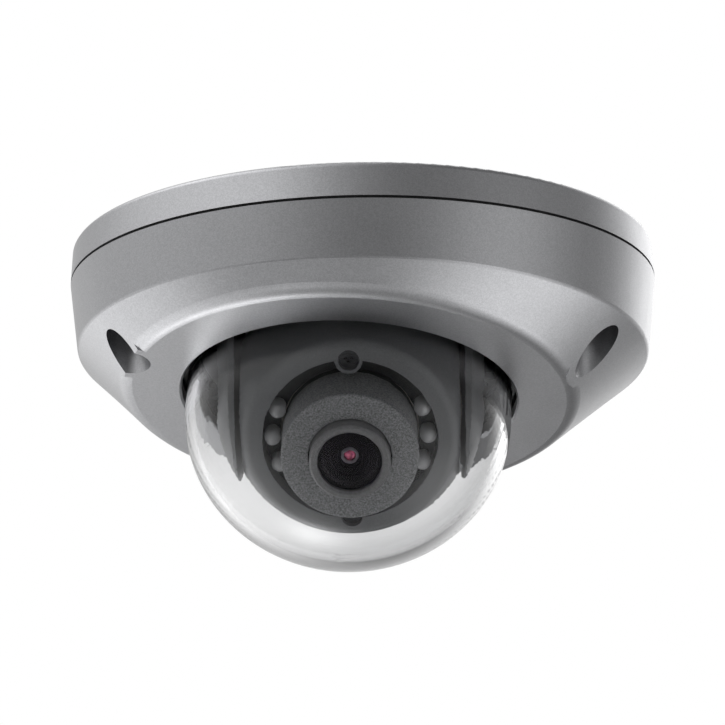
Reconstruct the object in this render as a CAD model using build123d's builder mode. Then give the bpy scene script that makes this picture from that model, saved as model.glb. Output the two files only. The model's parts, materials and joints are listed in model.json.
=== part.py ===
from build123d import *
from math import cos, pi, radians, sin
import os

# Dome camera for a ceiling. Millimetres and degrees. The origin is the centre of the face that
# meets the ceiling, +Z points up into the ceiling, and the low side of the wedge faces -Y.

# ---- base and cover -------------------------------------------------------------------------
base_radius = 55.0          # widest radius, at the seam
band_height = 6.3           # the base's visible band, from the ceiling to the seam
band_draft = 3.0            # the band leans in towards the ceiling
band_wall = 3.2
base_floor = 3.0            # thickness of the plate that meets the ceiling
top_round = 1.0
seam_gap = 0.5              # open seam between band and cover, closed by the seal further in
cover_wall = 2.4
crease_drop = 13.5          # height of the cover's upright wall at its sides
crease_tilt = 3.8
crease_inset = 1.6          # the crease circle is this much smaller than the seam
crease_shift = -0.4         # the crease circle's centre along Y
crease_round = 1.2
ring_tilt = 12.07           # the flat ring around the dome leans forward
ring_shift = -11.2          # ring centre along Y
ring_drop = 30.8            # ring centre below the ceiling
ring_edge_radius = 41.2
ring_edge_round = 3.5
corner_share = 0.41         # how far a corner moves for a wall measured square to its faces
opening_radius = 30.7
opening_chamfer = 0.4
countersink = 45.0          # slope of every countersunk edge
seal_width = 1.4

# ---- cover screws: pockets sunk straight up into the sloping cover ---------------------------
screw_azimuths = (-48.0, 75.5, 194.0)   # from the front (-Y) towards +X
screw_circle = 47.7
pocket_radius = 4.0
pocket_wall = 1.6
pocket_floor = 13.0         # depth of the pocket's floor below the ceiling
screw_radius = 2.0
screw_clearance = 0.25
screw_head_radius = 3.5
screw_head_height = 2.4
screw_head_chamfer = 0.5
screw_socket_radius = 1.24  # pin-in-star socket, so that only a matching driver opens the cover
screw_socket_lobe = 0.48
screw_socket_pin = 0.36
screw_socket_lobes = 6
screw_socket_depth = 1.44
thread_depth = 4.6
clip_radius = 3.1
clip_thickness = 0.6

# ---- ceiling fixings and cable entry ---------------------------------------------------------
fixing_circle = 42.0
fixing_count = 3
fixing_radius = 2.25
fixing_seat_radius = 4.4
fixing_seat_depth = 1.0
cable_y = 27.0
cable_hole_radius = 8.0
cable_bore_radius = 4.5
grommet_flange_radius = 10.0
grommet_flange = 1.2
grommet_recess = 0.2

# ---- dome ------------------------------------------------------------------------------------
dome_radius = 29.75
dome_depth = 27.7           # from the dome's widest circle to its lowest point
dome_wall = 1.8
dome_drop = 3.7             # the widest circle lies this far below the ring's face
flange_radius = 33.2
flange_thickness = 2.0
gasket_thickness = 1.0
gasket_inner_radius = 30.9
retainer_inner_radius = 28.4
retainer_radius = 38.0
retainer_thickness = 2.0
retainer_screw_circle = 35.9
retainer_screw_count = 4
retainer_screw_start = 45.0
retainer_screw_thread = 2.4
retainer_boss_radius = 2.1
retainer_pilot_radius = 0.8
retainer_hole_radius = 1.1
retainer_head_radius = 1.9
retainer_head_height = 1.3

# ---- turret: yoke on a pan bearing, ball in the yoke -----------------------------------------
turret_y = -10.0            # the pan axis is upright and passes through (0, turret_y)
turret_pan = 13.6           # the pose that is modelled, from the front towards +X
turret_drop = 32.0          # ball centre below the ceiling
view_tilt = 39.65           # the lens looks this far below the horizon
ball_radius = 23.0
ball_wall = 1.8
flat_half_width = 19.5      # flats on the ball's two sides
washer_thickness = 0.6
running_gap = 0.3           # air between faces that slide past each other
yoke_radius = 24.6
arm_half_depth = 11.8
arm_drop = 1.4              # the arm's round end is centred this far below the pivot
yoke_plate = 1.7
pan_base_radius = 26.0
pan_base_thickness = 1.6
hub_radius = 8.0
bearing_gap = 0.06          # radial running clearance
pan_washer_radius = 11.0
pan_washer_thickness = 0.7
pan_screw_radius = 1.5
pan_screw_head_radius = 2.8
pan_screw_head = 1.0
pan_base_screw_circle = 21.5
pan_base_screw_radius = 1.2
pan_base_screw_head = 2.4
pan_base_screw_depth = 1.3
pivot_radius = 2.0
pivot_thread_radius = 1.5
pivot_thread_length = 4.6
pivot_head_radius = 3.4
pivot_head_depth = 1.5
pivot_head_sink = 2.2       # how far the head's seat lies inside the arm's outer face
washer_radius = 5.5
pivot_boss_radius = 4.0
pivot_boss_end = 14.2

# ---- front of the ball -----------------------------------------------------------------------
facet_depth = 13.4          # flat face around the recess, measured from the ball's centre
facet_round = 2.2
recess_radius = 15.55
recess_wall = 1.65
split_depth = -5.0          # where the front and rear shells meet
web_depth = 2.0
web_thickness = 1.6
bearing_radius = 12.0       # the lens module turns in this bearing
bearing_wall = 1.2
bearing_top = 7.2
ledge_radius = 14.3
ledge_thickness = 1.2
ball_screw_circle = 15.45
ball_screw_radius = 1.0
ball_screw_clearance = 0.1
ball_screw_head_radius = 1.8
ball_screw_head = 1.0
ball_screw_cross = (1.5, 0.4)
ball_screw_cross_depth = 0.6
ball_screw_sink = 2.0
ball_screw_reach = 11.0     # thread below the split
column_radius = 2.0
column_head_radius = 2.5
column_head_length = 3.9
ball_cable_radius = 4.5

# ---- infrared lamps --------------------------------------------------------------------------
led_circle = 13.85
led_radius = 1.5
led_spread = 22.5           # angle between neighbouring lamps
led_barrel = 2.1
led_crown_round = 1.44
led_board_depth = 8.7
led_board_thickness = 0.8
led_board_gap = 0.4

# ---- lens module -----------------------------------------------------------------------------
shield_radius = 12.05
shield_front = 19.95
shield_plate = 2.0
shield_wall = 1.15
shield_round = 0.5
lens_front = 22.4
lens_radius = 7.1
lens_window_radius = 5.65
lens_ring_thickness = 1.0
lens_ring_chamfer = 0.4
lens_flange_back = 16.5
lens_thread_radius = 5.95
lens_back = 2.6
lens_wall = 1.55
lens_gap = 0.25
lens_back_wall = 1.4
lens_back_opening = 3.0
element_clearance = 0.05
element_edge = 1.7
element_crown = 0.7
element_pitch = 4.2
front_glass_rim = 0.9
front_glass_crown = 1.35
lock_ring_radius = 8.2
lock_ring_thickness = 1.4
carrier_wall = 1.2
carrier_back = 0.6
carrier_front = 10.4
carrier_flange_radius = 13.0
carrier_flange = 1.1
carrier_web = 1.2
clip_groove = 0.4
clip_overlap = 0.9
roll_clip_thickness = 0.8
holder_wall = 1.6
holder_tube_end = 10.2
holder_length = 20.8
holder_width = 12.0
holder_depth = 5.0
holder_side = 0.8
holder_roof = 1.0
filter_travel = 6.0
filter_plate_thickness = 0.8
filter_window_radius = 2.6
filter_margin = 0.35
filter_plate_length = 12.4
filter_glass_thickness = 0.5
coil_radius = 1.5
coil_length = 8.0
board_side = 17.0
board_thickness = 1.0
board_post_x = 6.8
board_post_y = 7.4
board_post_radius = 1.3
small_screw_radius = 0.7
small_screw_head_radius = 1.2
small_screw_head = 1.1
small_screw_length = 4.0
sensor_side = 8.0
sensor_height = 1.1
sensor_glass_side = 6.6
sensor_glass_thickness = 0.4
flex_socket = (8.0, 3.0, 1.2)

# ---- main board ------------------------------------------------------------------------------
main_board_size = (56.0, 20.0)
main_board_y = 27.0
main_board_thickness = 1.6
standoff_height = 5.0
standoff_radius = 2.4
standoff_x = 25.2
standoff_y = 7.0
stud_radius = 1.25
stud_length = 1.8
board_screw_radius = 1.0
board_screw_head_radius = 2.1
board_screw_head = 1.4
board_screw_length = 4.0
board_hole_radius = 1.4
processor_x = -5.0
processor_side = 14.0
processor_height = 1.4
heat_sink_base = 1.2
heat_sink_fin = 4.8
heat_sink_fin_width = 1.2
heat_sink_fin_count = 5
capacitor_radius = 3.1
capacitor_height = 8.0
capacitor_places = ((8.0, 5.5), (15.4, 5.5))
network_socket_size = (12.0, 6.0, 7.0)
network_socket_place = (10.0, -6.0)
power_socket_size = (5.0, 6.0, 7.0)
power_socket_place = (20.0, -6.5)
socket_wall = 0.8
card_socket_size = (11.0, 9.0, 1.8)
card_socket_place = (-20.5, 0.0)
lead_socket_place = (-5.0, -8.5)
switch_size = (6.0, 6.0, 3.5)
switch_place = (21.0, 0.0)
button_radius = 1.7
button_length = 2.4
button_proud = 0.9
button_travel = 0.35

# ---- planes and axes -------------------------------------------------------------------------
seam_z = -band_height
cover_top = seam_z - seam_gap
crease_radius = base_radius - crease_inset
pan_azimuth = radians(turret_pan)
tilt_angle = radians(view_tilt)
pivot_direction = Vector(cos(pan_azimuth), sin(pan_azimuth), 0)
facing = Vector(sin(pan_azimuth), -cos(pan_azimuth), 0)
view_direction = facing * cos(tilt_angle) + Vector(0, 0, -sin(tilt_angle))
ball_centre = Vector(0, turret_y, -turret_drop)


def tilted_plane(y, z, tilt):
    """A plane that faces up and leans back by an angle, with its X along the camera's X."""
    return Plane(origin=(0, y, z), x_dir=(1, 0, 0), z_dir=(0, sin(radians(tilt)), cos(radians(tilt))))


def profile_plane(plane):
    """The plane through another's origin whose X is its X and whose Y is its normal."""
    return Plane(origin=plane.origin, x_dir=plane.x_dir, z_dir=plane.x_dir.cross(plane.z_dir))


def axis_of(plane):
    return Axis(plane.origin, plane.z_dir)


def around(radius, azimuth):
    """A place on a circle about Z, from the front (-Y) towards +X."""
    return (radius * sin(radians(azimuth)), -radius * cos(radians(azimuth)))


ring_plane = tilted_plane(ring_shift, -ring_drop, ring_tilt)
crease_plane = tilted_plane(crease_shift, cover_top - crease_drop, crease_tilt)
pan_plane = Plane(origin=(0, turret_y, 0), x_dir=pivot_direction, z_dir=(0, 0, 1))
view_plane = Plane(origin=ball_centre, x_dir=pivot_direction, z_dir=view_direction)
pivot_plane = Plane(origin=ball_centre, x_dir=-facing, z_dir=pivot_direction)
board_back = -base_floor - standoff_height
board_plane = Plane(origin=(0, main_board_y, board_back), x_dir=(1, 0, 0), z_dir=(0, 0, -1))
screw_places = [around(screw_circle, azimuth) for azimuth in screw_azimuths]
fixing_places = [around(fixing_circle, 360 / fixing_count * index) for index in range(fixing_count)]
standoff_places = [(x, y) for x in (-standoff_x, standoff_x) for y in (-standoff_y, standoff_y)]


def keep(piece, label):
    """Name a finished piece and write it as one STEP file."""
    piece.part.label = label
    export_step(piece.part, f"parts/{label}.step")


def tube(plane, outer, inner, height):
    """A plain ring on a plane, made as its own piece."""
    with BuildPart() as ring:
        with BuildSketch(plane):
            Circle(outer)
            Circle(inner, mode=Mode.SUBTRACT)
        extrude(amount=height)
    return ring


def block(plane, place, size):
    """A plain block that stands on a plane, made as its own piece."""
    with BuildPart() as box:
        with BuildSketch(plane):
            with Locations(place):
                Rectangle(size[0], size[1])
        extrude(amount=size[2])
    return box


def crowned_disc(plane, radius, edge, crown):
    """A round glass element: flat behind, crowned in front of its edge."""
    curve = (radius**2 + crown**2) / (2 * crown)
    with BuildPart() as disc:
        with BuildSketch(plane):
            Circle(radius)
        extrude(amount=edge + crown)
        with Locations(plane.offset(edge + crown - curve).location):
            Sphere(curve, mode=Mode.INTERSECT)
    return disc


def wedge_form(inset):
    """The cover's outline, lofted from the seam over the crease to the ring, drawn in by a wall."""
    corner = corner_share * inset
    with BuildPart() as form:
        with BuildSketch(Plane.XY.offset(cover_top)):
            Circle(base_radius - inset)
        with BuildSketch(crease_plane.offset(corner)):
            Circle(crease_radius - inset)
        with BuildSketch(ring_plane.offset(inset)):
            Circle(ring_edge_radius - corner)
        loft(ruled=True)
    return form


def ball_form(radius, half_width):
    """A ball about the turret's centre with flats on both sides."""
    with BuildPart() as form:
        with Locations(view_plane.location):
            Sphere(radius)
        with BuildSketch(view_plane):
            Rectangle(2 * half_width, 3 * radius)
        extrude(amount=1.5 * radius, both=True, mode=Mode.INTERSECT)
    return form


os.makedirs("parts", exist_ok=True)

# ---- base plate ------------------------------------------------------------------------------
boss_radius = pocket_radius + pocket_wall
top_radius = base_radius - band_height * sin(radians(band_draft))

with BuildPart() as base_plate:
    with BuildSketch(Plane.XZ):
        with BuildLine():
            Polyline(
                (0, 0),
                (top_radius, 0),
                (base_radius, seam_z),
                (base_radius - band_wall, seam_z),
                (base_radius - band_wall, -base_floor),
                (0, -base_floor),
                close=True,
            )
        make_face()
    revolve(axis=Axis.Z)
    top_edge = base_plate.edges().group_by(Axis.Z)[-1]
    fillet(top_edge, top_round)
    with BuildSketch(Plane.XY.offset(-base_floor)):
        with Locations(*screw_places):
            Circle(boss_radius - screw_clearance)
    extrude(amount=seam_z + base_floor)
    with BuildSketch(Plane.XY.offset(seam_z)):
        with Locations(*screw_places):
            Circle(screw_radius)
    extrude(amount=thread_depth, mode=Mode.SUBTRACT)
    with BuildSketch(Plane.XY.offset(seam_z)):
        with Locations(*screw_places):
            Circle(clip_radius + running_gap)
    extrude(amount=clip_thickness, mode=Mode.SUBTRACT)
    with BuildSketch(Plane.XY.offset(-base_floor)):
        with Locations(*fixing_places):
            Circle(fixing_seat_radius)
    extrude(amount=fixing_seat_depth, mode=Mode.SUBTRACT)
    with BuildSketch(Plane.XY):
        with Locations(*fixing_places):
            Circle(fixing_radius)
        with Locations((0, cable_y)):
            Circle(cable_hole_radius)
    extrude(amount=-base_floor, mode=Mode.SUBTRACT)
    with BuildSketch(Plane.XY.offset(-base_floor)):
        with Locations((0, main_board_y)):
            with Locations(*standoff_places):
                Circle(stud_radius)
    extrude(amount=stud_length, mode=Mode.SUBTRACT)
    with BuildSketch(pan_plane.offset(-base_floor)):
        with PolarLocations(pan_base_screw_circle, 3):
            Circle(pan_base_screw_radius)
    extrude(amount=stud_length, mode=Mode.SUBTRACT)
keep(base_plate, "base_plate")

# ---- cable grommet ---------------------------------------------------------------------------
with BuildPart() as cable_grommet:
    with BuildSketch(Plane.XY.offset(-base_floor)):
        with Locations((0, cable_y)):
            Circle(grommet_flange_radius)
    extrude(amount=-grommet_flange)
    with BuildSketch(Plane.XY.offset(-base_floor)):
        with Locations((0, cable_y)):
            Circle(cable_hole_radius)
    extrude(amount=base_floor - grommet_recess)
    with BuildSketch(Plane.XY):
        with Locations((0, cable_y)):
            Circle(cable_bore_radius)
    extrude(amount=-base_floor - grommet_flange, mode=Mode.SUBTRACT)
keep(cable_grommet, "cable_grommet")

# ---- seal in the seam ------------------------------------------------------------------------
seal_inner = base_radius - cover_wall + running_gap
cover_seal = tube(Plane.XY.offset(cover_top), seal_inner + seal_width, seal_inner, seam_gap)
keep(cover_seal, "cover_seal")

# ---- cover -----------------------------------------------------------------------------------
outer_form = wedge_form(0)
inner_form = wedge_form(cover_wall)
retainer_boss_height = gasket_thickness + flange_thickness

with BuildPart() as screw_bosses:
    with BuildSketch(Plane.XY.offset(cover_top)):
        with Locations(*screw_places):
            Circle(boss_radius)
    extrude(amount=-ring_drop)
    add(outer_form.part, mode=Mode.INTERSECT)

with BuildPart() as cover:
    add(outer_form.part)
    ring_face = cover.faces().sort_by(Axis((0, 0, 0), (0, 0, -1)))[-1]
    fillet(ring_face.edges(), ring_edge_round)
    crease = cover.edges().filter_by(lambda edge: abs(edge.length - 2 * pi * crease_radius) < 4)
    crease_edges = crease.sort_by(Axis.Z)[:1]
    fillet(crease_edges, crease_round)
    add(inner_form.part, mode=Mode.SUBTRACT)
    add(screw_bosses.part)
    with BuildSketch(Plane.XY.offset(-pocket_floor)):
        with Locations(*screw_places):
            Circle(pocket_radius)
    extrude(amount=-ring_drop, mode=Mode.SUBTRACT)
    with BuildSketch(Plane.XY.offset(cover_top)):
        with Locations(*screw_places):
            Circle(screw_radius + screw_clearance)
    extrude(amount=-ring_drop, mode=Mode.SUBTRACT)
    with BuildSketch(ring_plane):
        Circle(opening_radius)
    extrude(amount=cover_wall, both=True, mode=Mode.SUBTRACT)
    with BuildSketch(ring_plane):
        Circle(opening_radius + opening_chamfer)
    extrude(amount=opening_chamfer, taper=countersink, mode=Mode.SUBTRACT)
    with BuildSketch(ring_plane.offset(cover_wall / 2)):
        with PolarLocations(retainer_screw_circle, retainer_screw_count, start_angle=retainer_screw_start):
            Circle(retainer_boss_radius)
    extrude(amount=retainer_boss_height + cover_wall / 2)
    with BuildSketch(ring_plane.offset(cover_wall + retainer_boss_height)):
        with PolarLocations(retainer_screw_circle, retainer_screw_count, start_angle=retainer_screw_start):
            Circle(retainer_pilot_radius)
    extrude(amount=-retainer_boss_height, mode=Mode.SUBTRACT)
keep(cover, "cover")

# ---- cover screws and the clips that keep them in the cover ------------------------------------
with BuildPart() as cover_screws:
    with BuildSketch(Plane.XY.offset(-pocket_floor)):
        with Locations(*screw_places):
            Circle(screw_head_radius)
    extrude(amount=-screw_head_height)
    chamfer(cover_screws.edges().group_by(Axis.Z)[0], screw_head_chamfer)
    with BuildSketch(Plane.XY.offset(-pocket_floor)):
        with Locations(*screw_places):
            Circle(screw_radius)
    extrude(amount=pocket_floor + seam_z + thread_depth - running_gap)
    with BuildSketch(Plane.XY.offset(-pocket_floor - screw_head_height)):
        with Locations(*screw_places):
            with PolarLocations(screw_socket_radius, screw_socket_lobes):
                Circle(screw_socket_lobe)
            Circle(screw_socket_radius)
            Circle(screw_socket_pin, mode=Mode.SUBTRACT)
    extrude(amount=screw_socket_depth, mode=Mode.SUBTRACT)
keep(cover_screws, "cover_screws")

with BuildPart() as screw_clips:
    with BuildSketch(Plane.XY.offset(cover_top + clip_thickness)):
        with Locations(*screw_places):
            Circle(clip_radius)
            Circle(screw_radius, mode=Mode.SUBTRACT)
    extrude(amount=-clip_thickness)
keep(screw_clips, "screw_clips")

# ---- dome, its gasket, retainer and screws -----------------------------------------------------
dome_profile = profile_plane(ring_plane)
flange_low = cover_wall + gasket_thickness
flange_high = flange_low + flange_thickness

with BuildPart() as dome:
    with BuildSketch(dome_profile):
        with BuildLine():
            EllipticalCenterArc((0, -dome_drop), dome_radius, dome_depth, 270, arc_size=90)
            Polyline(
                (dome_radius, -dome_drop),
                (dome_radius, flange_low),
                (flange_radius, flange_low),
                (flange_radius, flange_high),
                (dome_radius - dome_wall, flange_high),
                (dome_radius - dome_wall, -dome_drop),
            )
            EllipticalCenterArc(
                (0, -dome_drop), dome_radius - dome_wall, dome_depth - dome_wall, 270, arc_size=90
            )
            Line((0, -dome_drop - dome_depth), (0, -dome_drop - dome_depth + dome_wall))
        make_face()
    revolve(axis=axis_of(ring_plane))
keep(dome, "dome")

dome_gasket = tube(ring_plane.offset(cover_wall), flange_radius, gasket_inner_radius, gasket_thickness)
keep(dome_gasket, "dome_gasket")

with BuildPart() as dome_retainer:
    with BuildSketch(ring_plane.offset(flange_high)):
        Circle(retainer_radius)
        Circle(retainer_inner_radius, mode=Mode.SUBTRACT)
        with PolarLocations(retainer_screw_circle, retainer_screw_count, start_angle=retainer_screw_start):
            Circle(retainer_hole_radius, mode=Mode.SUBTRACT)
    extrude(amount=retainer_thickness)
    with BuildSketch(Plane.XY):
        with Locations(*screw_places):
            Circle(boss_radius + running_gap)
    extrude(amount=-2 * ring_drop, mode=Mode.SUBTRACT)
keep(dome_retainer, "dome_retainer")

with BuildPart() as retainer_screws:
    with BuildSketch(ring_plane.offset(flange_high + retainer_thickness)):
        with PolarLocations(retainer_screw_circle, retainer_screw_count, start_angle=retainer_screw_start):
            Circle(retainer_head_radius)
    extrude(amount=retainer_head_height)
    with BuildSketch(ring_plane.offset(flange_high + retainer_thickness)):
        with PolarLocations(retainer_screw_circle, retainer_screw_count, start_angle=retainer_screw_start):
            Circle(retainer_pilot_radius)
    extrude(amount=-retainer_thickness - retainer_screw_thread)
keep(retainer_screws, "retainer_screws")

# ---- pan bearing -------------------------------------------------------------------------------
pan_base_low = base_floor + pan_base_thickness
yoke_top = pan_base_low + running_gap
yoke_low = yoke_top + yoke_plate
hub_low = yoke_low + running_gap
washer_low = hub_low + pan_washer_thickness

with BuildPart() as pan_base:
    with BuildSketch(pan_plane.offset(-base_floor)):
        Circle(pan_base_radius)
    extrude(amount=-pan_base_thickness)
    with BuildSketch(pan_plane.offset(-pan_base_low)):
        Circle(hub_radius)
    extrude(amount=pan_base_low - hub_low)
    with BuildSketch(pan_plane.offset(-hub_low)):
        Circle(pan_screw_radius)
    extrude(amount=hub_low - base_floor - running_gap, mode=Mode.SUBTRACT)
    with BuildSketch(pan_plane.offset(-base_floor)):
        with PolarLocations(pan_base_screw_circle, 3):
            Circle(pan_base_screw_radius)
    extrude(amount=-pan_base_thickness, mode=Mode.SUBTRACT)
    with BuildSketch(pan_plane.offset(-pan_base_low)):
        with PolarLocations(pan_base_screw_circle, 3):
            Circle(pan_base_screw_head)
    extrude(amount=pan_base_screw_depth, taper=countersink, mode=Mode.SUBTRACT)
keep(pan_base, "pan_base")

with BuildPart() as pan_base_screws:
    with BuildSketch(pan_plane.offset(-pan_base_low)):
        with PolarLocations(pan_base_screw_circle, 3):
            Circle(pan_base_screw_head)
    extrude(amount=pan_base_screw_depth, taper=countersink)
    with BuildSketch(pan_plane.offset(-pan_base_low)):
        with PolarLocations(pan_base_screw_circle, 3):
            Circle(pan_base_screw_radius)
    extrude(amount=pan_base_thickness + stud_length)
keep(pan_base_screws, "pan_base_screws")

with BuildPart() as pan_washer:
    with BuildSketch(pan_plane.offset(-hub_low)):
        Circle(pan_washer_radius)
        Circle(pan_screw_radius, mode=Mode.SUBTRACT)
    extrude(amount=-pan_washer_thickness)
keep(pan_washer, "pan_washer")

with BuildPart() as pan_screw:
    with BuildSketch(pan_plane.offset(-washer_low)):
        Circle(pan_screw_head_radius)
    extrude(amount=-pan_screw_head)
    with BuildSketch(pan_plane.offset(-washer_low)):
        Circle(pan_screw_radius)
    extrude(amount=washer_low - base_floor - 2 * running_gap)
keep(pan_screw, "pan_screw")

# ---- yoke --------------------------------------------------------------------------------------
arm_inner = flat_half_width + washer_thickness + running_gap
pivot_seat = yoke_radius - pivot_head_sink

with BuildPart() as yoke_form:
    with BuildSketch(profile_plane(pan_plane)):
        with BuildLine():
            Line((0, -yoke_low), (yoke_radius, -yoke_low))
            Line((yoke_radius, -yoke_low), (yoke_radius, -turret_drop))
            CenterArc((0, -turret_drop), yoke_radius, 270, 90)
            Line((0, -turret_drop - yoke_radius), (0, -yoke_low))
        make_face()
    revolve(axis=axis_of(pan_plane))

with BuildPart() as yoke:
    for side in (-1, 1):
        with BuildSketch(pivot_plane.offset(side * arm_inner)):
            with Locations((0, -arm_drop)):
                Circle(arm_half_depth)
            with Locations((0, (turret_drop - arm_drop) / 2)):
                Rectangle(2 * arm_half_depth, turret_drop + arm_drop)
        extrude(amount=side * yoke_radius)
    add(yoke_form.part, mode=Mode.INTERSECT)
    with BuildSketch(pan_plane.offset(-yoke_top)):
        Circle(yoke_radius)
        Circle(hub_radius + bearing_gap, mode=Mode.SUBTRACT)
    extrude(amount=-yoke_plate)
    with BuildSketch(pivot_plane):
        Circle(pivot_radius + bearing_gap)
    extrude(amount=2 * yoke_radius, both=True, mode=Mode.SUBTRACT)
    for side in (-1, 1):
        with BuildSketch(pivot_plane.offset(side * pivot_seat)):
            Circle(pivot_head_radius + running_gap)
        extrude(amount=side * yoke_radius, mode=Mode.SUBTRACT)
keep(yoke, "yoke")

# ---- ball pivots -------------------------------------------------------------------------------
with BuildPart() as pivot_screws:
    for side in (-1, 1):
        with BuildSketch(pivot_plane.offset(side * (pivot_seat + running_gap))):
            Circle(pivot_head_radius)
        extrude(amount=side * pivot_head_depth)
        with BuildSketch(pivot_plane.offset(side * (pivot_seat + running_gap))):
            Circle(pivot_radius)
        extrude(amount=-side * (pivot_seat + running_gap - flat_half_width))
        with BuildSketch(pivot_plane.offset(side * flat_half_width)):
            Circle(pivot_thread_radius)
        extrude(amount=-side * pivot_thread_length)
keep(pivot_screws, "pivot_screws")

with BuildPart() as friction_washers:
    for side in (-1, 1):
        with BuildSketch(pivot_plane.offset(side * flat_half_width)):
            Circle(washer_radius)
            Circle(pivot_radius, mode=Mode.SUBTRACT)
        extrude(amount=side * washer_thickness)
keep(friction_washers, "friction_washers")

# ---- ball shells -------------------------------------------------------------------------------
ball_outer = ball_form(ball_radius, flat_half_width)
ball_inner = ball_form(ball_radius - ball_wall, flat_half_width - ball_wall)
bore_radius = bearing_radius + bearing_gap
screw_offsets = [(0, -ball_screw_circle), (0, ball_screw_circle)]

with BuildPart() as ball_front:
    add(ball_outer.part)
    with BuildSketch(view_plane.offset(facet_depth)):
        Circle(ball_radius)
    extrude(amount=ball_radius, mode=Mode.SUBTRACT)
    facet = ball_front.faces().sort_by(axis_of(view_plane))[-1]
    fillet(facet.edges(), facet_round)
    add(ball_inner.part, mode=Mode.SUBTRACT)
    with BuildSketch(view_plane.offset(web_depth)):
        Circle(recess_radius + recess_wall)
    extrude(amount=facet_depth - web_depth)
    with BuildSketch(view_plane.offset(web_depth + web_thickness)):
        Circle(recess_radius)
    extrude(amount=ball_radius, mode=Mode.SUBTRACT)
    with BuildSketch(view_plane.offset(web_depth)):
        Circle(bore_radius + bearing_wall)
    extrude(amount=bearing_top - web_depth)
    with BuildSketch(view_plane.offset(led_board_depth)):
        Circle(recess_radius + recess_wall / 2)
        Circle(ledge_radius, mode=Mode.SUBTRACT)
    extrude(amount=-ledge_thickness)
    with BuildSketch(view_plane.offset(split_depth)):
        with Locations(*screw_offsets):
            Circle(column_radius)
    extrude(amount=facet_depth - split_depth)
    with BuildSketch(view_plane.offset(facet_depth)):
        with Locations(*screw_offsets):
            Circle(column_head_radius)
    extrude(amount=-column_head_length)
    with BuildSketch(view_plane.offset(split_depth)):
        Circle(2 * ball_radius)
    extrude(amount=-2 * ball_radius, mode=Mode.SUBTRACT)
    for side in (-1, 1):
        with BuildSketch(pivot_plane.offset(side * pivot_boss_end)):
            Circle(pivot_boss_radius)
        extrude(amount=side * (flat_half_width - pivot_boss_end))
    with BuildSketch(pivot_plane):
        Circle(pivot_thread_radius)
    extrude(amount=2 * ball_radius, both=True, mode=Mode.SUBTRACT)
    with BuildSketch(view_plane.offset(split_depth)):
        Circle(bore_radius)
    extrude(amount=2 * ball_radius, mode=Mode.SUBTRACT)
    with BuildSketch(view_plane.offset(split_depth)):
        with Locations(*screw_offsets):
            Circle(ball_screw_radius + ball_screw_clearance)
    extrude(amount=2 * ball_radius, mode=Mode.SUBTRACT)
    with BuildSketch(view_plane.offset(facet_depth)):
        with Locations(*screw_offsets):
            Circle(ball_screw_head_radius + ball_screw_clearance)
    extrude(amount=-ball_screw_sink, mode=Mode.SUBTRACT)
keep(ball_front, "ball_front")

with BuildPart() as rear_space:
    add(ball_inner.part)
    with BuildSketch(view_plane):
        with Locations(*screw_offsets):
            Circle(column_head_radius)
    extrude(amount=-ball_radius, mode=Mode.SUBTRACT)

with BuildPart() as ball_rear:
    add(ball_outer.part)
    with BuildSketch(view_plane.offset(split_depth)):
        Circle(2 * ball_radius)
    extrude(amount=2 * ball_radius, mode=Mode.SUBTRACT)
    add(rear_space.part, mode=Mode.SUBTRACT)
    with BuildSketch(view_plane.offset(split_depth)):
        with Locations(*screw_offsets):
            Circle(ball_screw_radius)
    extrude(amount=-ball_screw_reach + ball_screw_sink, mode=Mode.SUBTRACT)
    with BuildSketch(view_plane):
        Circle(ball_cable_radius)
    extrude(amount=-2 * ball_radius, mode=Mode.SUBTRACT)
keep(ball_rear, "ball_rear")

with BuildPart() as ball_screws:
    with BuildSketch(view_plane.offset(facet_depth - ball_screw_sink)):
        with Locations(*screw_offsets):
            Circle(ball_screw_head_radius)
    extrude(amount=ball_screw_head)
    with BuildSketch(view_plane.offset(facet_depth - ball_screw_sink)):
        with Locations(*screw_offsets):
            Circle(ball_screw_radius)
    extrude(amount=split_depth - facet_depth + 2 * ball_screw_sink - ball_screw_reach + ball_screw_head)
    with BuildSketch(view_plane.offset(facet_depth - ball_screw_sink + ball_screw_head)):
        with Locations(*screw_offsets):
            Rectangle(*ball_screw_cross)
            Rectangle(*ball_screw_cross, rotation=90)
    extrude(amount=-ball_screw_cross_depth, mode=Mode.SUBTRACT)
keep(ball_screws, "ball_screws")

# ---- infrared lamps ----------------------------------------------------------------------------
led_base = led_board_depth + led_board_thickness
led_angles = [half + index * led_spread for half in (0, 180) for index in (-1, 0, 1)]
led_places = [(led_circle * cos(radians(a)), led_circle * sin(radians(a))) for a in led_angles]

with BuildPart() as led_board:
    with BuildSketch(view_plane.offset(led_board_depth)):
        Circle(recess_radius - bearing_gap)
        Circle(bearing_radius + led_board_gap, mode=Mode.SUBTRACT)
        with Locations(*screw_offsets):
            Circle(column_head_radius + ball_screw_clearance, mode=Mode.SUBTRACT)
    extrude(amount=led_board_thickness)
keep(led_board, "led_board")

with BuildPart() as leds:
    with BuildSketch(view_plane.offset(led_base)):
        with Locations(*led_places):
            Circle(led_radius)
    extrude(amount=led_barrel + led_radius)
    fillet(leds.edges().group_by(axis_of(view_plane))[-1], led_crown_round)
keep(leds, "leds")

# ---- carrier that turns in the ball ------------------------------------------------------------
carrier_inner = bearing_radius - carrier_wall
holder_radius = lens_thread_radius + bearing_gap + holder_wall
post_places = [(x, y) for x in (-board_post_x, board_post_x) for y in (-board_post_y, board_post_y)]
clip_inner = bearing_radius - clip_groove
clip_low = bearing_top + running_gap
board_front = carrier_back - holder_depth

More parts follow.
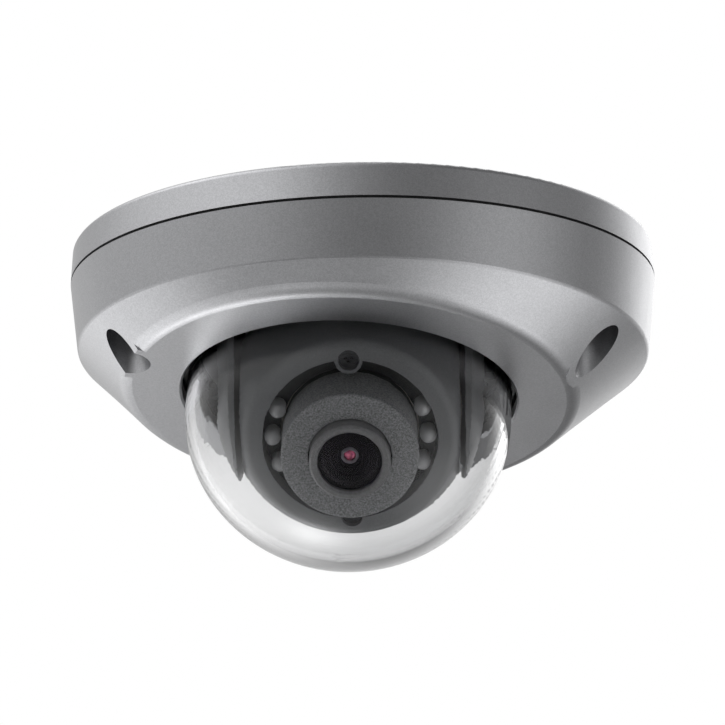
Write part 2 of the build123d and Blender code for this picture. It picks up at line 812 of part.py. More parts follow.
with BuildPart() as module_carrier:
    with BuildSketch(view_plane.offset(carrier_back)):
        Circle(bearing_radius)
    extrude(amount=carrier_front - carrier_back)
    with BuildSketch(view_plane.offset(carrier_back)):
        Circle(carrier_flange_radius)
    extrude(amount=carrier_flange)
    with BuildSketch(view_plane.offset(carrier_back + carrier_web)):
        Circle(carrier_inner)
    extrude(amount=carrier_front, mode=Mode.SUBTRACT)
    with BuildSketch(view_plane.offset(clip_low)):
        Circle(bearing_radius + clip_overlap)
        Circle(clip_inner, mode=Mode.SUBTRACT)
    extrude(amount=roll_clip_thickness, mode=Mode.SUBTRACT)
    with BuildSketch(view_plane.offset(carrier_back)):
        with Locations(*post_places):
            Circle(board_post_radius)
    extrude(amount=board_front - carrier_back)
    with BuildSketch(view_plane.offset(board_front)):
        with Locations(*post_places):
            Circle(small_screw_radius)
    extrude(amount=small_screw_length, mode=Mode.SUBTRACT)
    with BuildSketch(view_plane.offset(carrier_back)):
        Circle(holder_radius + bearing_gap)
    extrude(amount=carrier_front, mode=Mode.SUBTRACT)
keep(module_carrier, "module_carrier")

clip_outer = bearing_radius + clip_overlap
roll_clip = tube(view_plane.offset(clip_low), clip_outer, clip_inner, roll_clip_thickness)
keep(roll_clip, "roll_clip")

# ---- light shield around the lens --------------------------------------------------------------
with BuildPart() as light_shield:
    with BuildSketch(view_plane.offset(carrier_front)):
        Circle(shield_radius)
    extrude(amount=shield_front - carrier_front)
    fillet(light_shield.edges().group_by(axis_of(view_plane))[-1], shield_round)
    with BuildSketch(view_plane.offset(carrier_front)):
        Circle(shield_radius - shield_wall)
    extrude(amount=shield_front - shield_plate - carrier_front, mode=Mode.SUBTRACT)
    with BuildSketch(view_plane.offset(carrier_front)):
        Circle(lens_radius + lens_gap)
    extrude(amount=shield_front, mode=Mode.SUBTRACT)
keep(light_shield, "light_shield")

# ---- lens --------------------------------------------------------------------------------------
view_profile = profile_plane(view_plane)
lens_bore = lens_thread_radius - lens_wall
barrel_front = lens_front - lens_ring_thickness
glass_seat = barrel_front - front_glass_rim - element_clearance
glass_seat_radius = lens_window_radius + 2 * element_clearance

with BuildPart() as lens_barrel:
    with BuildSketch(view_profile):
        with BuildLine():
            Polyline(
                (lens_back_opening, lens_back),
                (lens_thread_radius, lens_back),
                (lens_thread_radius, lens_flange_back),
                (lens_radius, lens_flange_back),
                (lens_radius, barrel_front),
                (glass_seat_radius, barrel_front),
                (glass_seat_radius, glass_seat),
                (lens_bore, glass_seat),
                (lens_bore, lens_back + lens_back_wall),
                (lens_back_opening, lens_back + lens_back_wall),
                close=True,
            )
        make_face()
    revolve(axis=axis_of(view_plane))
keep(lens_barrel, "lens_barrel")

with BuildPart() as lens_ring:
    with BuildSketch(view_plane.offset(barrel_front)):
        Circle(lens_radius)
        Circle(lens_window_radius, mode=Mode.SUBTRACT)
    extrude(amount=lens_ring_thickness)
    chamfer(lens_ring.edges().group_by(axis_of(view_plane))[-1], lens_ring_chamfer)
keep(lens_ring, "lens_ring")

front_glass_radius = lens_window_radius - element_clearance
glass_plane = view_plane.offset(glass_seat)
front_glass = crowned_disc(glass_plane, front_glass_radius, front_glass_rim, front_glass_crown)
keep(front_glass, "front_lens")

element_start = lens_back + lens_back_wall + bearing_gap
elements = [
    crowned_disc(
        view_plane.offset(element_start + index * element_pitch),
        lens_bore - element_clearance,
        element_edge,
        element_crown,
    )
    for index in range(3)
]

with BuildPart() as rear_lenses:
    for element in elements:
        add(element.part)
keep(rear_lenses, "rear_lenses")

lock_plane = view_plane.offset(holder_tube_end)
lock_ring = tube(lock_plane, lock_ring_radius, lens_thread_radius + bearing_gap, lock_ring_thickness)
keep(lock_ring, "lens_lock_ring")

# ---- lens holder with the filter chamber ---------------------------------------------------------
with BuildPart() as lens_holder:
    with BuildSketch(view_plane.offset(board_front)):
        Rectangle(holder_length, holder_width)
    extrude(amount=holder_depth)
    with BuildSketch(view_plane.offset(board_front)):
        Rectangle(holder_length - 2 * holder_side, holder_width - 2 * holder_side)
    extrude(amount=holder_depth - holder_roof, mode=Mode.SUBTRACT)
    with BuildSketch(view_plane.offset(carrier_back)):
        Circle(holder_radius)
    extrude(amount=holder_tube_end - carrier_back)
    with BuildSketch(view_plane.offset(board_front)):
        Circle(lens_thread_radius + bearing_gap)
    extrude(amount=2 * holder_tube_end, mode=Mode.SUBTRACT)
keep(lens_holder, "lens_holder")

# ---- switched infrared filter --------------------------------------------------------------------
filter_front = carrier_back - holder_roof - filter_margin
filter_back = filter_front - filter_plate_thickness
filter_half = (holder_width - 2 * holder_side) / 2 - filter_margin
filter_centre = (-filter_travel / 2, 0)
window_places = [(-filter_travel, 0), (0, 0)]

with BuildPart() as filter_slide:
    with BuildSketch(view_plane.offset(filter_back)):
        with Locations(filter_centre):
            Rectangle(filter_plate_length, 2 * filter_half)
        with Locations(*window_places):
            Circle(filter_window_radius, mode=Mode.SUBTRACT)
    extrude(amount=filter_plate_thickness)
keep(filter_slide, "filter_slide")

filter_names = ("clear_filter", "infrared_filter")
for name, place in zip(filter_names, window_places):
    with BuildPart() as filter_glass:
        with BuildSketch(view_plane.offset(filter_back)):
            with Locations(place):
                Circle(filter_window_radius)
        extrude(amount=filter_glass_thickness)
    keep(filter_glass, name)

coil_place = view_plane.from_local_coords(
    Vector(-coil_length / 2, -holder_width / 2 - coil_radius, board_front + holder_depth / 2)
)
coil_plane = Plane(origin=coil_place, x_dir=view_direction, z_dir=pivot_direction)
with BuildPart() as filter_coil:
    with BuildSketch(coil_plane):
        Circle(coil_radius)
    extrude(amount=coil_length)
keep(filter_coil, "filter_coil")

# ---- sensor board --------------------------------------------------------------------------------
board_back = board_front - board_thickness

with BuildPart() as sensor_board:
    with BuildSketch(view_plane.offset(board_front)):
        Rectangle(board_side, board_side)
        with Locations(*post_places):
            Circle(small_screw_radius + ball_screw_clearance, mode=Mode.SUBTRACT)
    extrude(amount=-board_thickness)
keep(sensor_board, "sensor_board")

image_sensor = block(view_plane.offset(board_front), (0, 0), (sensor_side, sensor_side, sensor_height))
keep(image_sensor, "image_sensor")

sensor_glass = block(
    view_plane.offset(board_front + sensor_height),
    (0, 0),
    (sensor_glass_side, sensor_glass_side, sensor_glass_thickness),
)
keep(sensor_glass, "sensor_glass")

with BuildPart() as sensor_screws:
    with BuildSketch(view_plane.offset(board_back)):
        with Locations(*post_places):
            Circle(small_screw_head_radius)
    extrude(amount=-small_screw_head)
    with BuildSketch(view_plane.offset(board_back)):
        with Locations(*post_places):
            Circle(small_screw_radius)
    extrude(amount=small_screw_length)
keep(sensor_screws, "sensor_screws")

with BuildPart() as sensor_socket:
    with BuildSketch(view_plane.offset(board_back)):
        with Locations((0, flex_socket[1])):
            Rectangle(flex_socket[0], flex_socket[1])
    extrude(amount=-flex_socket[2])
keep(sensor_socket, "sensor_socket")

# ---- main board and what it carries --------------------------------------------------------------
component_plane = board_plane.offset(main_board_thickness)

with BuildPart() as main_board:
    with BuildSketch(board_plane):
        Rectangle(*main_board_size)
        with Locations(*standoff_places):
            Circle(board_hole_radius, mode=Mode.SUBTRACT)
    extrude(amount=main_board_thickness)
keep(main_board, "main_board")

with BuildPart() as standoffs:
    with BuildSketch(board_plane):
        with Locations(*standoff_places):
            RegularPolygon(standoff_radius, 6)
    extrude(amount=-standoff_height)
    with BuildSketch(board_plane.offset(-standoff_height)):
        with Locations(*standoff_places):
            Circle(stud_radius)
    extrude(amount=-stud_length)
    with BuildSketch(board_plane):
        with Locations(*standoff_places):
            Circle(board_screw_radius)
    extrude(amount=-board_screw_length + main_board_thickness, mode=Mode.SUBTRACT)
keep(standoffs, "board_standoffs")

with BuildPart() as board_screws:
    with BuildSketch(component_plane):
        with Locations(*standoff_places):
            Circle(board_screw_head_radius)
    extrude(amount=board_screw_head)
    with BuildSketch(component_plane):
        with Locations(*standoff_places):
            Circle(board_screw_radius)
    extrude(amount=-board_screw_length)
keep(board_screws, "board_screws")

processor = block(component_plane, (processor_x, 0), (processor_side, processor_side, processor_height))
keep(processor, "main_processor")

with BuildPart() as heat_sink:
    with BuildSketch(component_plane.offset(processor_height)):
        with Locations((processor_x, 0)):
            Rectangle(processor_side, processor_side)
    extrude(amount=heat_sink_base)
    fin_pitch = (processor_side - heat_sink_fin_width) / (heat_sink_fin_count - 1)
    with BuildSketch(component_plane.offset(processor_height + heat_sink_base)):
        with Locations((processor_x, 0)):
            with GridLocations(fin_pitch, 1, heat_sink_fin_count, 1):
                Rectangle(heat_sink_fin_width, processor_side)
    extrude(amount=heat_sink_fin)
keep(heat_sink, "heat_sink")

with BuildPart() as capacitors:
    with BuildSketch(component_plane):
        with Locations(*capacitor_places):
            Circle(capacitor_radius)
    extrude(amount=capacitor_height)
keep(capacitors, "capacitors")

sockets = (
    ("network_socket", network_socket_size, network_socket_place),
    ("power_socket", power_socket_size, power_socket_place),
)
for name, size, place in sockets:
    with BuildPart() as socket:
        with BuildSketch(component_plane):
            with Locations(place):
                Rectangle(size[0], size[1])
        extrude(amount=size[2])
        with BuildSketch(component_plane.offset(size[2])):
            with Locations(place):
                Rectangle(size[0] - 2 * socket_wall, size[1] - 2 * socket_wall)
        extrude(amount=2 * socket_wall - size[2], mode=Mode.SUBTRACT)
    keep(socket, name)

card_socket = block(component_plane, card_socket_place, card_socket_size)
keep(card_socket, "card_socket")

lead_socket = block(component_plane, lead_socket_place, flex_socket)
keep(lead_socket, "lead_socket")

with BuildPart() as reset_switch:
    with BuildSketch(component_plane):
        with Locations(switch_place):
            Rectangle(switch_size[0], switch_size[1])
    extrude(amount=switch_size[2])
    with BuildSketch(component_plane.offset(switch_size[2])):
        with Locations(switch_place):
            Circle(button_radius + bearing_gap)
    extrude(amount=button_proud - button_length - 2 * button_travel, mode=Mode.SUBTRACT)
keep(reset_switch, "reset_switch")

with BuildPart() as reset_button:
    with BuildSketch(component_plane.offset(switch_size[2] + button_proud)):
        with Locations(switch_place):
            Circle(button_radius)
    extrude(amount=-button_length)
keep(reset_button, "reset_button")
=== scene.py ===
import json
from math import cos, radians, sin, tau

import bmesh
import bpy
from mathutils import Matrix, Vector


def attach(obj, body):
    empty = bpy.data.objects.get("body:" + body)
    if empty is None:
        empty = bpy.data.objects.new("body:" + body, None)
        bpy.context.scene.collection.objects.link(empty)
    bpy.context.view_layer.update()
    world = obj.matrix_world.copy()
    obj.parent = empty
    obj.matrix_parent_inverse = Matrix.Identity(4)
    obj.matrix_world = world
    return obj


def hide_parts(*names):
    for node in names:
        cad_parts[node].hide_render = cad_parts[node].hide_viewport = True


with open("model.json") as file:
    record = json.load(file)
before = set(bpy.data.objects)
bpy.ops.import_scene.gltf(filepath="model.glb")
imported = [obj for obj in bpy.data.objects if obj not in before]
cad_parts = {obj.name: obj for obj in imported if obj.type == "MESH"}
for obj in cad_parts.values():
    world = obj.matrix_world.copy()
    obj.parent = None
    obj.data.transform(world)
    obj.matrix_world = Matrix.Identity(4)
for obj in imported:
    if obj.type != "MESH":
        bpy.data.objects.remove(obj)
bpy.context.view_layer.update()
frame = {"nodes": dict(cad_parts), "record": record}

MM = 0.001
CAMERA_DISTANCE = 0.5
FLOOR_LEVEL = -0.9
LAMP_CIRCLE = 13.85
LAMP_SEAT = 9.5
LAMP_STEP = 22.5
LAMP_RADIUS = 1.5

# ---- camera: below the ceiling, a little to the right of the low front ---------------------------
turn, rise, lean = radians(14.26), radians(15.29), radians(-0.68)
aim = Vector((-0.22, 0, -20.72)) * MM
back = Vector((sin(turn) * cos(rise), -cos(turn) * cos(rise), -sin(rise)))
across = (-back).cross(Vector((0, 0, 1))).normalized()
upward = across.cross(-back)
right = cos(lean) * across + sin(lean) * upward
above = cos(lean) * upward - sin(lean) * across
camera = bpy.data.objects.new("camera", bpy.data.cameras.new("camera"))
bpy.context.scene.collection.objects.link(camera)
camera.data.lens = 132.04
camera.data.sensor_width = 36
camera.data.clip_start = 0.01
facing_object = Matrix((right, above, back)).transposed().to_4x4()
camera.matrix_world = Matrix.Translation(aim + CAMERA_DISTANCE * back) @ facing_object
bpy.context.scene.camera = camera
bpy.context.scene.view_settings.view_transform = "Standard"

# ---- places in the turret: X along the tilt pivot, Z out of the lens, millimetres -----------------
pan, tilt = radians(13.6), radians(39.65)
ball_centre = Vector((0, -10, -32)) * MM
pivot = Vector((cos(pan), sin(pan), 0))
facing = Vector((sin(pan), -cos(pan), 0))
view = facing * cos(tilt) + Vector((0, 0, -sin(tilt)))
module = Matrix.Translation(ball_centre) @ Matrix((pivot, view.cross(pivot), view)).transposed().to_4x4()
module = module @ Matrix.Scale(MM, 4)


# ---- materials -----------------------------------------------------------------------------------
def new_finish(name, colour, roughness, metallic=0.0, **constants):
    """A material with one Principled shader, whose constant sockets are set here."""
    finish = bpy.data.materials.new(name)
    finish.use_nodes = True
    shader = finish.node_tree.nodes["Principled BSDF"]
    shader.inputs["Base Color"].default_value = (*colour, 1)
    shader.inputs["Roughness"].default_value = roughness
    shader.inputs["Metallic"].default_value = metallic
    for socket, value in constants.items():
        shader.inputs[socket.replace("_", " ")].default_value = value
    return finish


def add_node(tree, kind, **settings):
    made = tree.nodes.new(kind)
    for key, value in settings.items():
        if key in made.inputs:
            made.inputs[key].default_value = value
        else:
            setattr(made, key, value)
    return made


def shader_of(finish):
    return finish.node_tree.nodes["Principled BSDF"]


def pattern(finish, kind, scale, stretch=None, **settings):
    """A texture on object coordinates, with its cells so many to the metre."""
    tree = finish.node_tree
    place = add_node(tree, "ShaderNodeTexCoord")
    made = add_node(tree, kind, Scale=scale, **settings)
    if stretch is None:
        tree.links.new(place.outputs["Object"], made.inputs["Vector"])
    else:
        mapping = add_node(tree, "ShaderNodeMapping", Scale=stretch)
        tree.links.new(place.outputs["Object"], mapping.inputs["Vector"])
        tree.links.new(mapping.outputs["Vector"], made.inputs["Vector"])
    return made


def two_tone(finish, source, dark, light, low=0.3, high=0.7):
    """Base colour runs between two colours as the source does."""
    tree = finish.node_tree
    ramp = add_node(tree, "ShaderNodeValToRGB")
    for stop, (place, colour) in zip(ramp.color_ramp.elements, ((low, dark), (high, light))):
        stop.position = place
        stop.color = (*colour, 1)
    tree.links.new(source, ramp.inputs["Fac"])
    tree.links.new(ramp.outputs["Color"], shader_of(finish).inputs["Base Color"])


def vary_roughness(finish, scale, low, high):
    tree = finish.node_tree
    noise = pattern(finish, "ShaderNodeTexNoise", scale)
    spread = add_node(tree, "ShaderNodeMapRange")
    spread.inputs["To Min"].default_value = low
    spread.inputs["To Max"].default_value = high
    tree.links.new(noise.outputs["Fac"], spread.inputs["Value"])
    tree.links.new(spread.outputs["Result"], shader_of(finish).inputs["Roughness"])


def raise_grain(finish, source, depth, strength, under=None):
    """Bump from a pattern, its depth in metres, over any earlier bump."""
    tree = finish.node_tree
    bump = add_node(tree, "ShaderNodeBump", Strength=strength, Distance=depth)
    tree.links.new(source, bump.inputs["Height"])
    if under is not None:
        tree.links.new(under.outputs["Normal"], bump.inputs["Normal"])
    tree.links.new(bump.outputs["Normal"], shader_of(finish).inputs["Normal"])
    return bump


def silver_flake_paint():
    """Silver-grey lacquer with fine aluminium flake under a soft clear coat."""
    finish = new_finish(
        "silver_flake_paint", (0.44, 0.45, 0.47), 0.34, 0.85, Coat_Weight=0.25, Coat_Roughness=0.22
    )
    flakes = pattern(finish, "ShaderNodeTexVoronoi", 6500.0)
    split = add_node(finish.node_tree, "ShaderNodeSeparateColor")
    finish.node_tree.links.new(flakes.outputs["Color"], split.inputs["Color"])
    two_tone(finish, split.outputs["Red"], (0.39, 0.392, 0.405), (0.49, 0.493, 0.508), 0.0, 1.0)
    tilted = raise_grain(finish, split.outputs["Green"], 0.00001, 0.2)
    peel = pattern(finish, "ShaderNodeTexNoise", 700.0)
    raise_grain(finish, peel.outputs["Fac"], 0.00002, 0.15, tilted)
    vary_roughness(finish, 160.0, 0.30, 0.39)
    return finish


def moulded_plastic(name, dark, light, roughness, grain=2600.0, depth=0.00002):
    finish = new_finish(name, light, roughness)
    noise = pattern(finish, "ShaderNodeTexNoise", grain)
    two_tone(finish, noise.outputs["Fac"], dark, light)
    raise_grain(finish, noise.outputs["Fac"], depth, 0.5)
    vary_roughness(finish, 240.0, roughness - 0.05, roughness + 0.07)
    return finish


def spark_eroded_plastic():
    """Dark plastic with the coarse matte grain of a spark-eroded mould."""
    finish = new_finish("spark_eroded_plastic", (0.09, 0.092, 0.095), 0.6)
    cells = pattern(finish, "ShaderNodeTexVoronoi", 2300.0)
    noise = pattern(finish, "ShaderNodeTexNoise", 3400.0, Detail=4.0)
    two_tone(finish, noise.outputs["Fac"], (0.16, 0.163, 0.168), (0.38, 0.385, 0.393), 0.35, 0.65)
    first = raise_grain(finish, cells.outputs["Distance"], 0.00012, 0.55)
    raise_grain(finish, noise.outputs["Fac"], 0.00006, 0.6, first)
    vary_roughness(finish, 300.0, 0.52, 0.68)
    return finish


def machined_metal(name, dark, light, roughness, stretch=(1, 1, 12)):
    finish = new_finish(name, light, roughness, 1.0)
    marks = pattern(finish, "ShaderNodeTexNoise", 900.0, stretch)
    two_tone(finish, marks.outputs["Fac"], dark, light)
    raise_grain(finish, marks.outputs["Fac"], 0.000006, 0.4)
    vary_roughness(finish, 900.0, roughness - 0.08, roughness + 0.1)
    return finish


def clear_finish(name, colour, ior, haze=0.01, weight=1.0, **constants):
    """A clear material with a trace of handling marks in its polish."""
    finish = new_finish(name, colour, 0.0, 0.0, IOR=ior, Transmission_Weight=weight, **constants)
    vary_roughness(finish, 120.0, 0.0, haze)
    return finish


finishes = {
    "silver_paint": silver_flake_paint(),
    "screw_steel": machined_metal("screw_steel", (0.42, 0.42, 0.43), (0.66, 0.66, 0.67), 0.3),
    "black_screw": machined_metal("black_screw", (0.05, 0.05, 0.053), (0.10, 0.10, 0.105), 0.38),
    "spring_steel": machined_metal("spring_steel", (0.34, 0.34, 0.35), (0.55, 0.55, 0.56), 0.32),
    "clear_dome": clear_finish(
        "clear_polycarbonate", (0.85, 0.852, 0.856), 1.58, Specular_Tint=(0.1, 0.1, 0.1, 1)
    ),
    "seal_rubber": moulded_plastic("seal_rubber", (0.008, 0.008, 0.009), (0.018, 0.018, 0.02), 0.75),
    "turret_plastic": moulded_plastic(
        "turret_plastic", (0.18, 0.184, 0.19), (0.215, 0.219, 0.226), 0.36, 3200.0, 0.000006
    ),
    "shield_plastic": spark_eroded_plastic(),
    "frame_plastic": moulded_plastic("frame_plastic", (0.012, 0.012, 0.013), (0.022, 0.022, 0.024), 0.5),
    "lens_metal": moulded_plastic(
        "lens_metal", (0.2, 0.2, 0.204), (0.26, 0.26, 0.265), 0.35, 1800.0, 0.000004
    ),
    "lens_glass": clear_finish(
        "lens_glass", (0.95, 0.93, 0.97), 1.52, Specular_Tint=(0.05, 0.04, 0.07, 1)
    ),
    "filter_glass": clear_finish("filter_glass", (0.95, 0.98, 0.99), 1.52),
    "infrared_glass": clear_finish("infrared_glass", (0.5, 0.85, 0.82), 1.52),
    "lamp_clear": clear_finish("lamp_epoxy", (0.97, 0.972, 0.98), 1.5, weight=0.6),
    "board_green": moulded_plastic("board_green", (0.01, 0.07, 0.03), (0.016, 0.10, 0.045), 0.35, 900.0),
    "board_black": moulded_plastic("board_black", (0.006, 0.006, 0.007), (0.014, 0.014, 0.015), 0.38, 900.0),
    "chip_black": moulded_plastic("chip_black", (0.012, 0.012, 0.013), (0.022, 0.022, 0.023), 0.55),
    "sink_black": machined_metal("sink_black", (0.03, 0.03, 0.032), (0.05, 0.05, 0.052), 0.5),
    "can_aluminium": machined_metal("can_aluminium", (0.6, 0.61, 0.62), (0.78, 0.79, 0.8), 0.25),
    "brass_post": machined_metal("brass_post", (0.5, 0.36, 0.13), (0.72, 0.55, 0.26), 0.28),
    "washer_nylon": moulded_plastic("washer_nylon", (0.62, 0.6, 0.55), (0.72, 0.7, 0.65), 0.45),
    "socket_ivory": moulded_plastic("socket_ivory", (0.55, 0.53, 0.46), (0.65, 0.63, 0.56), 0.4),
    "coil_copper": machined_metal("coil_copper", (0.4, 0.16, 0.07), (0.62, 0.3, 0.14), 0.35, (1, 1, 30)),
    "button_red": moulded_plastic("button_red", (0.42, 0.02, 0.02), (0.5, 0.035, 0.03), 0.35),
}
for entry in frame["record"]["subparts"]:
    node = frame["nodes"][entry["node"]]
    node.data.materials.clear()
    node.data.materials.append(finishes[entry["material_slot"]])

lens_black = moulded_plastic(
    "lens_black", (0.003, 0.003, 0.0035), (0.006, 0.006, 0.007), 0.5, 500.0, 0.000002
)
shader_of(lens_black).inputs["Specular IOR Level"].default_value = 0.1
iris_grey = moulded_plastic("iris_grey", (0.4, 0.4, 0.41), (0.55, 0.55, 0.56), 0.35, 1500.0, 0.000004)
magenta_glass = new_finish(
    "magenta_coated_glass", (0.55, 0.05, 0.12), 0.12, 0.55, Coat_Weight=1.0, Coat_Roughness=0.03
)
coating = pattern(magenta_glass, "ShaderNodeTexNoise", 1500.0)
two_tone(magenta_glass, coating.outputs["Fac"], (0.30, 0.02, 0.10), (0.85, 0.16, 0.26), 0.35, 0.65)
lamp_cup = moulded_plastic("lamp_cup_silver", (0.7, 0.7, 0.71), (0.97, 0.97, 0.98), 0.25, 2400.0)
shader_of(lamp_cup).inputs["Metallic"].default_value = 0.3
lamp_die = moulded_plastic("lamp_die", (0.02, 0.018, 0.03), (0.06, 0.05, 0.07), 0.3, 4000.0)


# ---- piece makers ----------------------------------------------------------------------------------
def add_piece(name, shape, finish, body, place=None, sharp=35.0, settle=True):
    """Turns a bmesh into a shown piece of the object that rides on a body."""
    bmesh.ops.remove_doubles(shape, verts=shape.verts, dist=0.0002 if place is not None else 0.0000002)
    if settle:
        bmesh.ops.recalc_face_normals(shape, faces=shape.faces)
    if place is not None:
        bmesh.ops.transform(shape, matrix=place, verts=shape.verts)
    for face in shape.faces:
        face.smooth = True
    mesh = bpy.data.meshes.new(name)
    shape.to_mesh(mesh)
    shape.free()
    mesh.set_sharp_from_angle(angle=radians(sharp))
    mesh.materials.append(finish)
    piece = bpy.data.objects.new(name, mesh)
    bpy.context.scene.collection.objects.link(piece)
    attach(piece, body)
    return piece


def turned(outline, steps=72, shape=None, centre=(0, 0, 0), closed=True):
    """Spins an outline of (radius, height) points about an upright axis through a centre."""
    shape = shape or bmesh.new()
    x, y, z = centre
    points = [shape.verts.new((x + radius, y, z + height)) for radius, height in outline]
    pairs = list(zip(points, points[1:] + points[:1])) if closed else list(zip(points, points[1:]))
    edges = [shape.edges.new(pair) for pair in pairs]
    bmesh.ops.spin(
        shape, geom=points + edges, cent=centre, axis=(0, 0, 1), dvec=(0, 0, 0), angle=tau, steps=steps,
        use_merge=True, use_normal_flip=False, use_duplicate=False,
    )
    return shape


def eased_copy(node, name, finish, body, width, angle=30.0, steps=2):
    """A copy of a CAD node with its sharp edges eased by a bevel."""
    shape = bmesh.new()
    shape.from_mesh(frame["nodes"][node].data)
    bmesh.ops.remove_doubles(shape, verts=shape.verts, dist=0.000001)
    bmesh.ops.dissolve_limit(shape, angle_limit=radians(0.5), verts=shape.verts, edges=shape.edges)
    piece = add_piece(name, shape, finish, body, settle=False)
    ease = piece.modifiers.new("eased_edges", "BEVEL")
    ease.width = width
    ease.segments = steps
    ease.limit_method = "ANGLE"
    ease.angle_limit = radians(angle)
    ease.harden_normals = True
    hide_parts(node)
    return piece


# ---- lens: black baffle, grey iris ring, coated inner glass and the curved front glass --------------
shape = turned(
    [
        (5.6, 20.95), (5.6, 20.5), (4.35, 20.5), (4.35, 18.2), (1.15, 18.2), (1.15, 19.2), (2.0, 19.3),
        (2.1, 19.7), (3.2, 19.8), (3.3, 20.25), (4.5, 20.35), (4.6, 20.75), (5.3, 20.85),
    ],
)
add_piece("lens_baffle", shape, lens_black, "lens_module", module)

shape = turned([(1.0, 19.15), (1.05, 19.5), (1.2, 19.62), (1.38, 19.5), (1.45, 19.22)])
add_piece("lens_iris_ring", shape, iris_grey, "lens_module", module, 50)

shape = turned(
    [(0, 18.6), (1.12, 18.6), (1.12, 19.0), (0.95, 19.18), (0.7, 19.32), (0.35, 19.42), (0, 19.45)],
    closed=False,
)
add_piece("lens_inner_glass", shape, magenta_glass, "lens_module", module, 60)


def crown(radius, low, height, steps, end=0.0):
    """Points along a spherical crown, from its edge to near its middle."""
    curve = (radius**2 + height**2) / (2 * height)
    radii = [radius + (end - radius) * step / steps for step in range(steps + 1)]
    return [(r, low + height - curve + (curve**2 - r**2) ** 0.5) for r in radii]


shape = turned(
    [(5.6, 20.98), (5.6, 21.35)]
    + crown(5.6, 21.35, 1.3, 14)
    + crown(5.2, 20.98, 0.75, 12)[::-1]
    + [(5.6, 20.98)],
    closed=False,
)
front_glass = add_piece(
    "lens_front_glass", shape, finishes["lens_glass"], "lens_module", module, 40
)
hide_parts("front_lens")


# ---- infrared lamps: epoxy body, silver cup, die and lead frame ------------------------------------
lamp_angles = [side + step * LAMP_STEP for side in (0, 180) for step in (-1, 0, 1)]
lamp_places = [(LAMP_CIRCLE * cos(radians(a)), LAMP_CIRCLE * sin(radians(a)), LAMP_SEAT) for a in lamp_angles]
bodies, cups, dies = bmesh.new(), bmesh.new(), bmesh.new()
for place in lamp_places:
    dome_top = [(LAMP_RADIUS * cos(radians(a)), 2.1 + 1.46 * sin(radians(a))) for a in range(0, 91, 10)]
    turned([(0, 0.02), (LAMP_RADIUS, 0.02)] + dome_top, 32, bodies, place, closed=False)
    turned([(0.22, 0.75), (0.3, 0.7), (1.1, 1.45), (1.3, 1.45), (1.3, 0.3), (0.22, 0.3)], 24, cups, place)
    for offset, height in ((-0.62, 0.5), (0.62, 0.9)):
        post = bmesh.ops.create_cube(cups, size=1)["verts"]
        bmesh.ops.scale(cups, vec=(0.35, 0.5, height), verts=post)
        bmesh.ops.translate(cups, vec=Vector(place) + Vector((offset, 0.95, height / 2 + 0.2)), verts=post)
    die = bmesh.ops.create_cube(dies, size=0.42)["verts"]
    bmesh.ops.translate(dies, vec=Vector(place) + Vector((0, 0, 0.78)), verts=die)
lamps = add_piece("lamp_bodies", bodies, finishes["lamp_clear"], "ball", module, 40)
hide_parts("leds")
add_piece("lamp_cups", cups, lamp_cup, "ball", module, 30)
add_piece("lamp_dies", dies, lamp_die, "ball", module, 30)

# ---- edges eased as the mould leaves them ----------------------------------------------------------
eased_copy("yoke", "yoke_eased", finishes["turret_plastic"], "yoke", 0.45 * MM)
eased_copy("ball_front", "ball_front_eased", finishes["turret_plastic"], "ball", 0.28 * MM)
shield_finish = finishes["shield_plastic"]
eased_copy("light_shield", "light_shield_eased", shield_finish, "lens_module", 0.2 * MM)
eased_copy("lens_ring", "lens_ring_eased", finishes["lens_metal"], "lens_module", 0.1 * MM)

# ---- floor, far below the ceiling ------------------------------------------------------------------
shape = bmesh.new()
bmesh.ops.create_circle(shape, cap_ends=True, segments=96, radius=12)
bmesh.ops.translate(shape, vec=(0, 0, FLOOR_LEVEL), verts=shape.verts)
mesh = bpy.data.meshes.new("floor")
shape.to_mesh(mesh)
shape.free()
floor_finish = new_finish("pale_floor", (0.86, 0.86, 0.865), 0.85)
noise = pattern(floor_finish, "ShaderNodeTexNoise", 3.0)
two_tone(floor_finish, noise.outputs["Fac"], (0.84, 0.84, 0.845), (0.88, 0.88, 0.885))
mesh.materials.append(floor_finish)
floor = bpy.data.objects.new("floor", mesh)
bpy.context.scene.collection.objects.link(floor)
floor.visible_diffuse = floor.visible_glossy = floor.visible_transmission = False

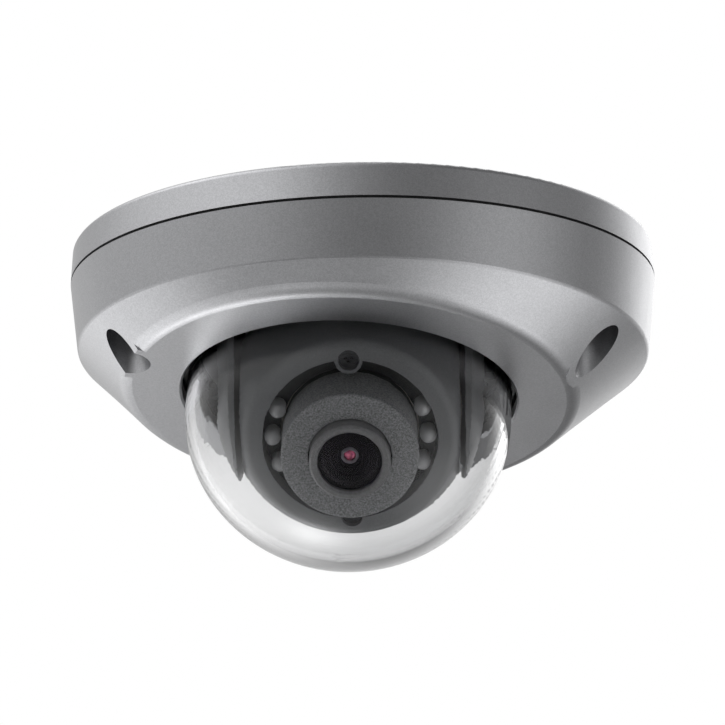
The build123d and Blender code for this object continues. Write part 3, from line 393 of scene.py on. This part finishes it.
# ---- light: a white studio whose softboxes are broad glows in the surroundings ----------------------
BASE_GLOW = 0.11
softboxes = {
    # azimuth from the front towards +X, height, brightness, tightness
    "left_high": (-80, 49, 2.1, 9),
    "left_low": (-105, -44, 1.35, 9),
    "left_side": (-73, -25, 0.9, 9),
    "back_left": (-125, -14, 1.15, 9),
    "front_left": (-28, 36, 1.3, 9),
    "right_side": (75, 5, 0.4, 9),
    "right_front": (65, -28, 1.2, 9),
    "right_low": (108, -46, 1.6, 12),
    "back_right": (162, 21, 1.8, 9),
    "back_high": (-165, 40, 0.7, 9),
    "below": (-137, -56, 3.2, 50),
    "front_low": (-15, -45, 0.8, 12),
}
world = bpy.data.worlds.new("studio")
bpy.context.scene.world = world
world.use_nodes = True
air = world.node_tree
direction = add_node(air, "ShaderNodeTexCoord")


def calculate(operation, *values):
    """A Math node on sockets or numbers; returns its output."""
    made = add_node(air, "ShaderNodeMath", operation=operation)
    for socket, value in zip(made.inputs, values):
        if isinstance(value, (int, float)):
            socket.default_value = value
        else:
            air.links.new(value, socket)
    return made.outputs[0]


glow = BASE_GLOW
for azimuth, height, brightness, tightness in softboxes.values():
    a, h = radians(azimuth), radians(height)
    towards = add_node(air, "ShaderNodeVectorMath", operation="DOT_PRODUCT")
    towards.inputs[1].default_value = (sin(a) * cos(h), -cos(a) * cos(h), sin(h))
    air.links.new(direction.outputs["Generated"], towards.inputs[0])
    off_centre = calculate("SUBTRACT", towards.outputs["Value"], 1.0)
    falloff = calculate("EXPONENT", calculate("MULTIPLY", off_centre, tightness))
    glow = calculate("MULTIPLY_ADD", falloff, brightness, glow)
path = add_node(air, "ShaderNodeLightPath")
bounces = calculate("ADD", path.outputs["Diffuse Depth"], path.outputs["Glossy Depth"])
straight = calculate("SUBTRACT", 1.0, calculate("MINIMUM", bounces, 1.0))
through_glass = calculate("MULTIPLY", path.outputs["Is Transmission Ray"], straight)
seen = calculate("MAXIMUM", path.outputs["Is Camera Ray"], through_glass)
shown = add_node(air, "ShaderNodeMix", data_type="FLOAT")
air.links.new(seen, shown.inputs[0])
air.links.new(glow, shown.inputs[2])
shown.inputs[3].default_value = 1.0
air.links.new(shown.outputs[0], air.nodes["Background"].inputs["Strength"])
air.nodes["Background"].inputs["Color"].default_value = (1, 1, 1, 1)
